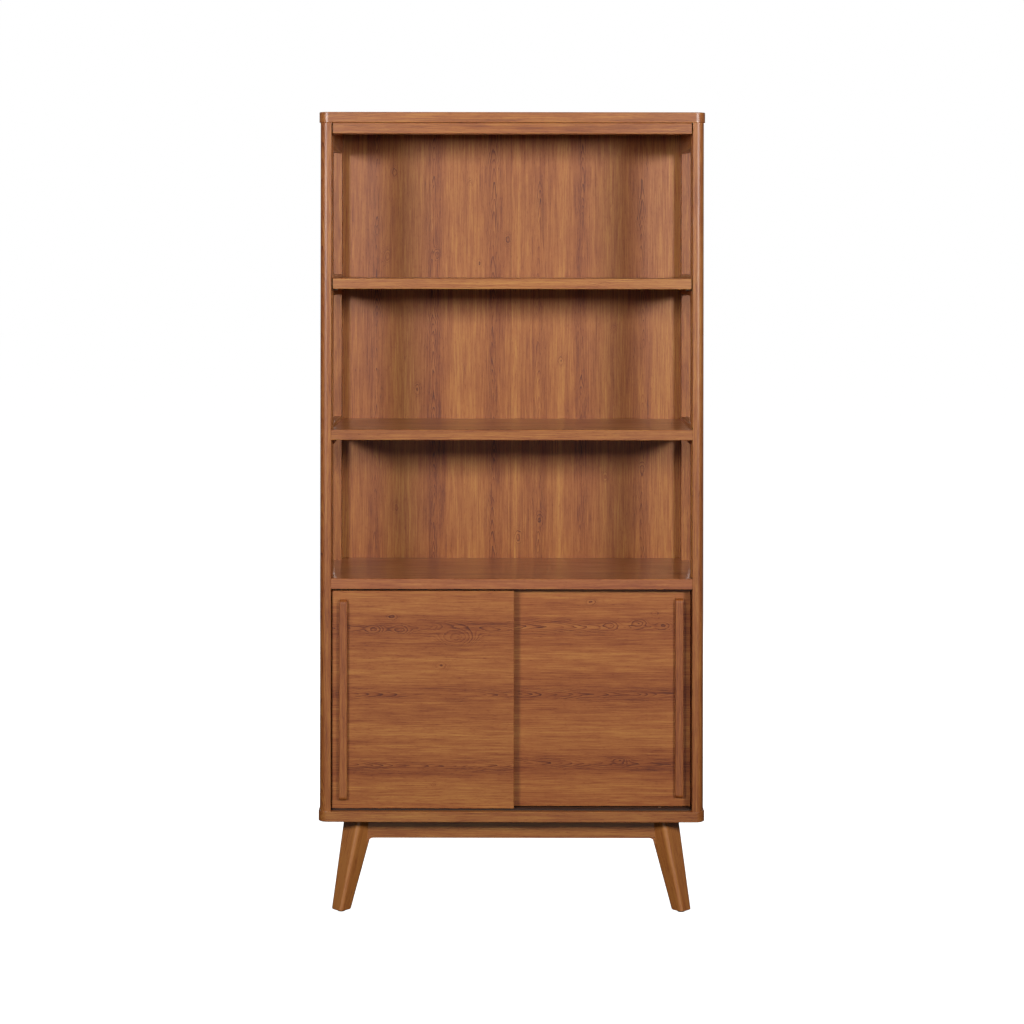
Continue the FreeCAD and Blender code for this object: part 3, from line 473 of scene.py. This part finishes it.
def stand_on_points(group, sizes, shape):
    """Stand a shape on every point, its Z along the point's axis, as plain mesh."""
    axis = add(group, "GeometryNodeInputNamedAttribute", Name="axis",
               data_type="FLOAT_VECTOR")
    turn = add(group, "FunctionNodeAlignRotationToVector", Vector=axis, axis="Z")
    placed = add(group, "GeometryNodeInstanceOnPoints", Points=sizes["Points"],
                 Instance=shape, Rotation=turn)
    real = add(group, "GeometryNodeRealizeInstances", placed)
    add(group, "NodeGroupOutput",
        add(group, "GeometryNodeSetMaterial", real, Material=sizes["Material"]))
    return group


def screw_group():
    """A countersunk screw with a cross recess, its head flush with the point."""
    group, size = new_group("Cross-recessed screw", (
        "Head", "Head height", "Shank", "Length", "Recess length", "Recess width",
        "Recess depth"))
    head = add(group, "GeometryNodeMeshCone", Vertices=32,
               Radius_Top=sum_of(group, (size["Head"], 0.5)),
               Radius_Bottom=sum_of(group, (size["Shank"], 0.5)), Depth=size["Head height"])
    head = lifted(group, head, sum_of(group, (size["Head height"], -1.0)))
    slot = add(group, "GeometryNodeMeshCube", Size=add(
        group, "ShaderNodeCombineXYZ", size["Recess length"], size["Recess width"],
        sum_of(group, (size["Recess depth"], 2.0))))
    cross = joined(group, slot, lifted(group, slot, 0, (0, 0, pi / 2)))
    head = add(group, "GeometryNodeMeshBoolean", Mesh_1=head, Mesh_2=cross,
               operation="DIFFERENCE")
    shank = add(group, "GeometryNodeMeshCylinder", Vertices=20,
                Radius=sum_of(group, (size["Shank"], 0.5)),
                Depth=sum_of(group, (size["Length"], 1.0), (size["Head height"], -1.0)))
    shank = lifted(group, shank, sum_of(
        group, (size["Length"], -0.5), (size["Head height"], -0.5)))
    return stand_on_points(group, size, joined(group, head, shank))


def pin_group():
    """A shelf pin with bevelled ends, its far end at the point."""
    group, size = new_group("Shelf pin", ("Diameter", "Length", "Bevel"))
    radius = sum_of(group, (size["Diameter"], 0.5))
    bar = add(group, "GeometryNodeMeshCylinder", Vertices=32, Radius=radius,
              Depth=sum_of(group, (size["Length"], 1.0), (size["Bevel"], -2.0)))
    end = add(group, "GeometryNodeMeshCone", Vertices=32, Radius_Bottom=radius,
              Radius_Top=sum_of(group, (size["Diameter"], 0.5), (size["Bevel"], -1.0)),
              Depth=size["Bevel"])
    rise = sum_of(group, (size["Length"], 0.5), (size["Bevel"], -1.0))
    fall = sum_of(group, (size["Length"], -0.5), (size["Bevel"], 1.0))
    whole = joined(group, bar, lifted(group, end, rise),
                   lifted(group, end, fall, (pi, 0, 0)))
    return stand_on_points(group, size, lifted(
        group, whole, sum_of(group, (size["Length"], -0.5))))


def bolt_group():
    """A threaded rod with a washer and a nut, the washer's seat at the point."""
    group, size = new_group("Leg bolt", (
        "Diameter", "Length", "Tail", "Pitch", "Washer", "Washer thickness", "Nut",
        "Nut height"))
    thread = sum_of(group, (size["Pitch"], 0.35))
    core = sum_of(group, (size["Diameter"], 0.5), (thread, -1.0))
    rod = add(group, "GeometryNodeMeshCylinder", Vertices=24, Radius=core,
              Depth=size["Length"])
    rod = lifted(group, rod, sum_of(group, (size["Tail"], 1.0), (size["Length"], -0.5)))
    spiral = add(group, "GeometryNodeCurveSpiral", Resolution=20, Start_Radius=core,
                 End_Radius=core, Height=sum_of(group, (size["Tail"], 1.0), (thread, -2.0)),
                 Rotations=add(group, "ShaderNodeMath", size["Tail"], size["Pitch"],
                               operation="DIVIDE"))
    ridge = add(group, "GeometryNodeCurvePrimitiveCircle", Resolution=3, Radius=thread)
    ridge = lifted(group, add(group, "GeometryNodeCurveToMesh", Curve=spiral,
                              Profile_Curve=ridge, Fill_Caps=True), thread)
    washer = add(group, "GeometryNodeMeshCylinder", Vertices=40,
                 Radius=sum_of(group, (size["Washer"], 0.5)),
                 Depth=size["Washer thickness"])
    washer = lifted(group, washer, sum_of(group, (size["Washer thickness"], 0.5)))
    nut = add(group, "GeometryNodeMeshCylinder", Vertices=6,
              Radius=sum_of(group, (size["Nut"], 0.5)), Depth=size["Nut height"])
    nut = lifted(group, nut, sum_of(
        group, (size["Washer thickness"], 1.0), (size["Nut height"], 0.5)))
    return stand_on_points(group, size, joined(group, rod, ridge, washer, nut))


def build_fasteners(context, node, body, group, seats, material, sizes):
    """Detailed pieces in place of one CAD node's fasteners, as one plain mesh."""
    points = bpy.data.meshes.new(node + "_seats")
    points.from_pydata([place for place, _axis in seats], [], [])
    axes = points.attributes.new("axis", "FLOAT_VECTOR", "POINT")
    for index, (_place, axis) in enumerate(seats):
        axes.data[index].vector = axis
    holder = bpy.data.objects.new(node + "_holder", points)
    context.scene.collection.objects.link(holder)
    modifier = holder.modifiers.new("build", "NODES")
    modifier.node_group = group
    values = {**sizes, "Material": material}
    for item in group.interface.items_tree:
        if item.name in values:
            modifier[item.identifier] = values[item.name]
    mesh = bpy.data.meshes.new_from_object(
        holder.evaluated_get(context.evaluated_depsgraph_get()))
    bpy.data.objects.remove(holder)
    if not mesh.polygons:
        raise RuntimeError(f"{node}: no fasteners were built")
    mesh.shade_smooth()
    mesh.set_sharp_from_angle(angle=radians(35))
    piece = bpy.data.objects.new("detailed_" + node, mesh)
    context.scene.collection.objects.link(piece)
    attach(piece, body)
    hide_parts(node)


# ---------------------------------------------------------------- operators

class BOOKCASE_OT_carcass(bpy.types.Operator):
    """Veneer the boards, posts and side panels"""
    bl_idname = "bookcase.carcass"
    bl_label = "Carcass"

    def execute(self, context):
        # sliced veneer on board: long quiet lines along the board, edges banded to match
        dress(wood("Cherry veneer, top panel", "XYZ", (1720, 1890), 1), "top_panel")
        dress(wood("Cherry veneer, bottom panel", "XYZ", (130, 290), 2, tone=-0.05),
              "bottom_panel")
        dress(wood("Cherry edge band, top rail", "XYZ", (1400, 2100), 3, tone=-0.05),
              "top_rail")
        dress(wood("Cherry veneer, upper shelf", "XYZ", (1370, 1530), 4, tone=0.13,
                   gloss=0.9), "upper_shelf")
        dress(wood("Cherry veneer, middle shelf", "XYZ", (1010, 1180), 5, gloss=0.9),
              "middle_shelf")
        dress(wood("Cherry veneer, deck", "XYZ", (660, 830), 6, red=0.16,
                   gloss=1.0), "deck")
        dress(wood("Cherry veneer, cabinet shelf", "XYZ", (420, 600), 7), "cabinet_shelf")
        # planed solid wood: straight upright lines on every face, round corners that
        # catch a soft stripe of light
        for number, side in enumerate(("left", "right")):
            dress(wood(f"Cherry, {side} posts", "ZXY", (-700, 700), 8 + number,
                       tone=-0.05, gloss=0.15),
                  f"{side}_front_post", f"{side}_rear_post")
            dress(wood(f"Cherry veneer, {side} side panel", "ZYX", (-120, -10, 95),
                       10 + number, sliced=True), f"{side}_side_panel")
            dress(wood(f"Solid cherry, {side} side rails", "YZX", (-700, 2700),
                       21 + number),
                  *[f"{side}_{place}_side_rail" for place in ("middle", "upper", "top")])
        return {"FINISHED"}


class BOOKCASE_OT_back(bpy.types.Operator):
    """Veneer the back panel, figure upright"""
    bl_idname = "bookcase.back"
    bl_label = "Back panel"

    def execute(self, context):
        # two leaves of sliced veneer: tall narrow arches side by side, small knots, and
        # a fine dark line where the leaves meet
        columns = (-330, -190, -44, 65, 171, 318)
        knots = [(1710, -286, 4), (1684, -101, 3), (1506, -303, 5), (1509, -181, 4),
                 (1488, -78, 3), (1547, -10, 4), (892, -280, 4), (821, 17, 6),
                 (968, 229, 4), (862, 69, 5), (987, 319, 4), (1250, 120, 4),
                 (1180, -230, 5), (1330, 250, 3)]
        dress(wood("Cherry veneer, back panel", "ZXY", columns, 12, knots, tone=-0.07,
                   sliced=True, seam=-1.5), "back_panel")
        return {"FINISHED"}


class BOOKCASE_OT_doors(bpy.types.Operator):
    """Veneer the doors, figure across"""
    bl_idname = "bookcase.doors"
    bl_label = "Doors"

    def execute(self, context):
        # sliced veneer laid across: low arches lying on their sides, a large oval knot
        # on the left door, redder and a little darker than the posts
        rows = (180, 342, 500, 652, 820)
        left = [(-122, 634, 11), (-252, 650, 5), (-313, 651, 5), (-272, 679, 4),
                (-160, 568, 5), (-178, 296, 2)]
        right = [(228, 656, 5), (292, 661, 5), (350, 656, 5), (183, 710, 4),
                 (330, 685, 3), (250, 346, 4)]
        dress(wood("Cherry veneer, left door", "XZY", rows, 13, left, tone=-0.04,
                   red=0.07, gloss=0.12, sliced=True), "left_door_panel")
        dress(wood("Cherry veneer, right door", "XZY", rows, 14, right, tone=-0.06,
                   red=0.09, gloss=0.12, sliced=True), "right_door_panel")
        return {"FINISHED"}


class BOOKCASE_OT_handles(bpy.types.Operator):
    """Finish the door handles as solid lacquered bars"""
    bl_idname = "bookcase.handles"
    bl_label = "Handles"

    def execute(self, context):
        # rounded solid bars: plain straight lines and bright rounded ends
        for number, side in enumerate(("left", "right")):
            dress(wood(f"Solid cherry, {side} handle", "ZXY", (-700, 700), 15 + number,
                       tone=-0.08, red=0.06), f"{side}_door_handle")
        return {"FINISHED"}


class BOOKCASE_OT_base(bpy.types.Operator):
    """Finish the legs, aprons and corner blocks as solid wood"""
    bl_idname = "bookcase.base"
    bl_label = "Base"

    def execute(self, context):
        # planed solid wood: lines follow the lean of each leg. The legs are painted lighter
        # and redder than the case, painted light that makes up for the dim light under it
        dress(wood("Solid cherry, legs", "ZXY", (300, 1500), 17, lean=0.1932, tone=0.28,
                   red=0.14),
              *[corner + "_leg" for corner in CORNERS])
        # painted light: the long aprons are made lighter to lessen the shadow of the bottom
        # panel on them
        dress(wood("Solid cherry, long aprons", "XZY", (-900, 1500), 18, tone=0.08),
              "front_apron", "rear_apron")
        dress(wood("Solid cherry, short aprons", "YZX", (-900, 1500), 19),
              "left_apron", "right_apron")
        # sawn and left under the same lacquer, out of sight behind the aprons
        dress(wood("Rough-sawn cherry, corner blocks", "XZY", (-900, 1500), 20),
              *[corner + "_corner_block" for corner in CORNERS])
        # moulded and slightly waxy: near black with a soft broad sheen
        dress(plain("Dark polyethylene, moulded foot glides", "#3b3a3a", 0.45),
              *[corner + "_foot_glide" for corner in CORNERS])
        return {"FINISHED"}


class BOOKCASE_OT_running_gear(bpy.types.Operator):
    """Finish the door tracks, glides and guide pins"""
    bl_idname = "bookcase.running_gear"
    bl_label = "Tracks and glides"

    def execute(self, context):
        # extruded: an even dark brown that makes the channels read as shadow
        dress(plain("Grey-brown PVC, extruded track", "#342018", 0.5),
              "lower_door_track", "upper_door_track")
        # moulded and worn smooth by running: dark brown with a narrow highlight
        nylon = plain("Brown nylon, moulded glides", "#3b2c22", 0.4)
        for side in ("left", "right"):
            dress(nylon, f"{side}_door_glides", f"{side}_door_guide_pins")
        return {"FINISHED"}


class BOOKCASE_OT_fasteners(bpy.types.Operator):
    """Finish the screws, pins, bolts and dowels"""
    bl_idname = "bookcase.fasteners"
    bl_label = "Fasteners"

    def execute(self, context):
        # bright zinc plating: pale grey metal, slightly cloudy
        zinc = plain("Zinc-plated steel", "#b9bbb6", 0.34, metallic=1.0)
        # turned beech, left bare: pale, matt and finely speckled
        dress(plain("Fluted beech dowel", "#c9a273", 0.6), "carcass_dowels")
        self.make_screws(context, zinc)
        self.make_pins(context, zinc)
        self.make_bolts(context, zinc)
        return {"FINISHED"}

    def make_screws(self, context, zinc):
        hardware = context.scene.bookcase_hardware
        group = screw_group()
        back, up, down = (0, 1, 0), (0, 0, 1), (0, 0, -1)
        sets = {"back_panel_screws": ("cabinet", back), "base_screws": ("cabinet", down),
                "track_screws": ("cabinet", None),
                "left_handle_screws": ("left_door", back),
                "right_handle_screws": ("right_door", back)}
        middle = (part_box("lower_door_track")[1][2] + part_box("upper_door_track")[0][2]) / 2
        for node, (body, way) in sets.items():
            seats = []
            for points in solids(node):
                facing = way or (up if points[0].z < middle else down)
                seats.append(seat(points, facing))
            low, high = reach_along(solids(node)[0], Vector(way or up))
            build_fasteners(context, node, body, group, seats, zinc, {
                "Head": SCREW_HEAD, "Head height": SCREW_HEAD_HEIGHT, "Shank": SCREW_SHANK,
                "Length": high - low, "Recess length": hardware.recess_length,
                "Recess width": hardware.recess_width,
                "Recess depth": hardware.recess_depth})

    def make_pins(self, context, zinc):
        group = pin_group()
        for node in ("upper_shelf_pins", "cabinet_shelf_pins"):
            pins = solids(node)
            low, high = reach_along(pins[0], Vector((1, 0, 0)))
            build_fasteners(context, node, "cabinet", group,
                            [seat(points, (1, 0, 0)) for points in pins], zinc,
                            {"Diameter": PIN_DIAMETER, "Length": high - low,
                             "Bevel": context.scene.bookcase_hardware.pin_bevel})

    def make_bolts(self, context, zinc):
        seats = []
        for points in solids("leg_bolts"):
            corner = points[0]
            inwards = Vector((-1 if corner.x > 0 else 1, -1 if corner.y > 0 else 1, 0))
            seats.append(seat(points, inwards, BOLT_TAIL))
            low, high = reach_along(points, inwards.normalized())
        build_fasteners(context, "leg_bolts", "cabinet", bolt_group(), seats, zinc, {
            "Diameter": BOLT_DIAMETER, "Length": high - low, "Tail": BOLT_TAIL,
            "Pitch": context.scene.bookcase_hardware.thread_pitch,
            "Washer": WASHER_DIAMETER, "Washer thickness": WASHER_THICKNESS,
            "Nut": NUT_CORNERS, "Nut height": NUT_HEIGHT})


# ---------------------------------------------------------------- stage

# Lights: name, place, target and size in metres, power in watts, colour and the
# beam's spread in degrees. Each of the side lights stands on both sides.
SIDE_LIGHTS = (
    ("softbox", (2.16, -3.8, 2.0), (0, 0, 1.75), (0.8, 0.66), 43, "#ffffff", 115),
    ("screen", (2.4, 0.75, 1.3), (0, 0, 1.1), (1.6, 2.4), 3, "#e8eeff", 180),
)
MIDDLE_LIGHTS = (
    ("floor_bounce", (0, -2.2, 0.05), (0, 0, 0.5), (3.0, 1.4), 5.5, "#ffffff", 180),
    ("rear_softbox", (0, 3.6, 1.9), (0, 0, 1.0), (1.8, 1.2), 60, "#ffffff", 180),
)
# The floor lies a hair under the glides' soles, so that the two faces don't fight.
FLOOR_DROP = 0.0002
# The camera stands slightly left of the middle, and all but level and square to the case.
CAMERA_OFFSET = -0.0176
CAMERA_ROLL = -0.00132
CAMERA_TURN = 0.00139
CAMERA_SHIFT = (0.0105, -0.2465)

def area_light(name, place, target, size, power, colour, spread):
    """A rectangular softbox at a place, facing a target; spread is its beam's angle."""
    data = bpy.data.lights.new(name, "AREA")
    data.shape = "RECTANGLE"
    data.size, data.size_y = size
    data.energy = power
    data.spread = radians(spread)
    data.color = linear(colour)[:3]
    lamp = bpy.data.objects.new(name, data)
    lamp.location = place
    aim = Vector(target) - Vector(place)
    lamp.rotation_euler = aim.to_track_quat("-Z", "Y").to_euler()
    bpy.context.scene.collection.objects.link(lamp)


class BOOKCASE_OT_stage(bpy.types.Operator):
    """Set up the floor, the lights and the camera"""
    bl_idname = "bookcase.stage"
    bl_label = "Stage"

    def execute(self, context):
        stage = context.scene.bookcase_stage
        self.make_floor(stage)
        self.make_lights(context)
        self.make_camera(context, stage)
        context.scene.view_settings.view_transform = "Standard"
        return {"FINISHED"}

    def make_floor(self, stage):
        mesh = bpy.data.meshes.new("studio_floor")
        shape = bmesh.new()
        bmesh.ops.create_circle(shape, cap_ends=True, segments=96,
                                radius=stage.floor_radius)
        shape.to_mesh(mesh)
        shape.free()
        floor = bpy.data.objects.new("studio_floor", mesh)
        floor.location.z = -FLOOR_DROP
        bpy.context.scene.collection.objects.link(floor)
        material, tree = new_material("White paper floor")
        finish_material(tree, add(
            tree, "ShaderNodeBsdfPrincipled", Base_Color=linear("#f4f4f4"), Roughness=0.9,
            Emission_Color=(1, 1, 1, 1), Emission_Strength=1.0))
        mesh.materials.append(material)
        # paper below throws next to no light up into the case
        floor.visible_diffuse = False
        floor.visible_glossy = False

    def make_lights(self, context):
        for side, sign in (("left", -1), ("right", 1)):
            for name, (x, y, z), *rest in SIDE_LIGHTS:
                area_light(f"{side}_{name}", (sign * x, y, z), *rest)
        for light in MIDDLE_LIGHTS:
            area_light(*light)
        world = bpy.data.worlds.new("studio_world")
        context.scene.world = world
        world.use_nodes = True
        world.node_tree.nodes["Background"].inputs["Color"].default_value = (1, 1, 1, 1)
        world.cycles_visibility.diffuse = False
        world.cycles_visibility.glossy = False

    def make_camera(self, context, stage):
        data = bpy.data.cameras.new("camera")
        data.lens = stage.lens
        data.sensor_width = 36
        data.shift_x, data.shift_y = CAMERA_SHIFT
        camera = bpy.data.objects.new("camera", data)
        camera.location = (CAMERA_OFFSET, -stage.distance, stage.height)
        camera.rotation_euler = (pi / 2, CAMERA_ROLL, CAMERA_TURN)
        context.scene.collection.objects.link(camera)
        context.scene.camera = camera


# ---------------------------------------------------------------- add-on

class BOOKCASE_PT_panel(bpy.types.Panel):
    """Lists the steps that dress the bookcase"""
    bl_idname = "BOOKCASE_PT_panel"
    bl_label = "Bookcase"
    bl_space_type = "VIEW_3D"
    bl_region_type = "UI"
    bl_category = "Bookcase"

    def draw(self, context):
        for step in STEPS:
            self.layout.operator(step.bl_idname)


STEPS = (
    BOOKCASE_OT_carcass,
    BOOKCASE_OT_back,
    BOOKCASE_OT_doors,
    BOOKCASE_OT_handles,
    BOOKCASE_OT_base,
    BOOKCASE_OT_running_gear,
    BOOKCASE_OT_fasteners,
    BOOKCASE_OT_stage,
)
SETTINGS = {
    "bookcase_veneer": VeneerSettings,
    "bookcase_hardware": HardwareSettings,
    "bookcase_stage": StageSettings,
}
CLASSES = (*SETTINGS.values(), *STEPS, BOOKCASE_PT_panel)


def register():
    for item in CLASSES:
        bpy.utils.register_class(item)
    for name, settings in SETTINGS.items():
        setattr(bpy.types.Scene, name, PointerProperty(type=settings))


def unregister():
    for name in SETTINGS:
        delattr(bpy.types.Scene, name)
    for item in reversed(CLASSES):
        bpy.utils.unregister_class(item)


def main():
    register()
    for step in STEPS:
        getattr(bpy.ops.bookcase, step.bl_idname.split(".")[1])()


if __name__ == "__main__":
    main()
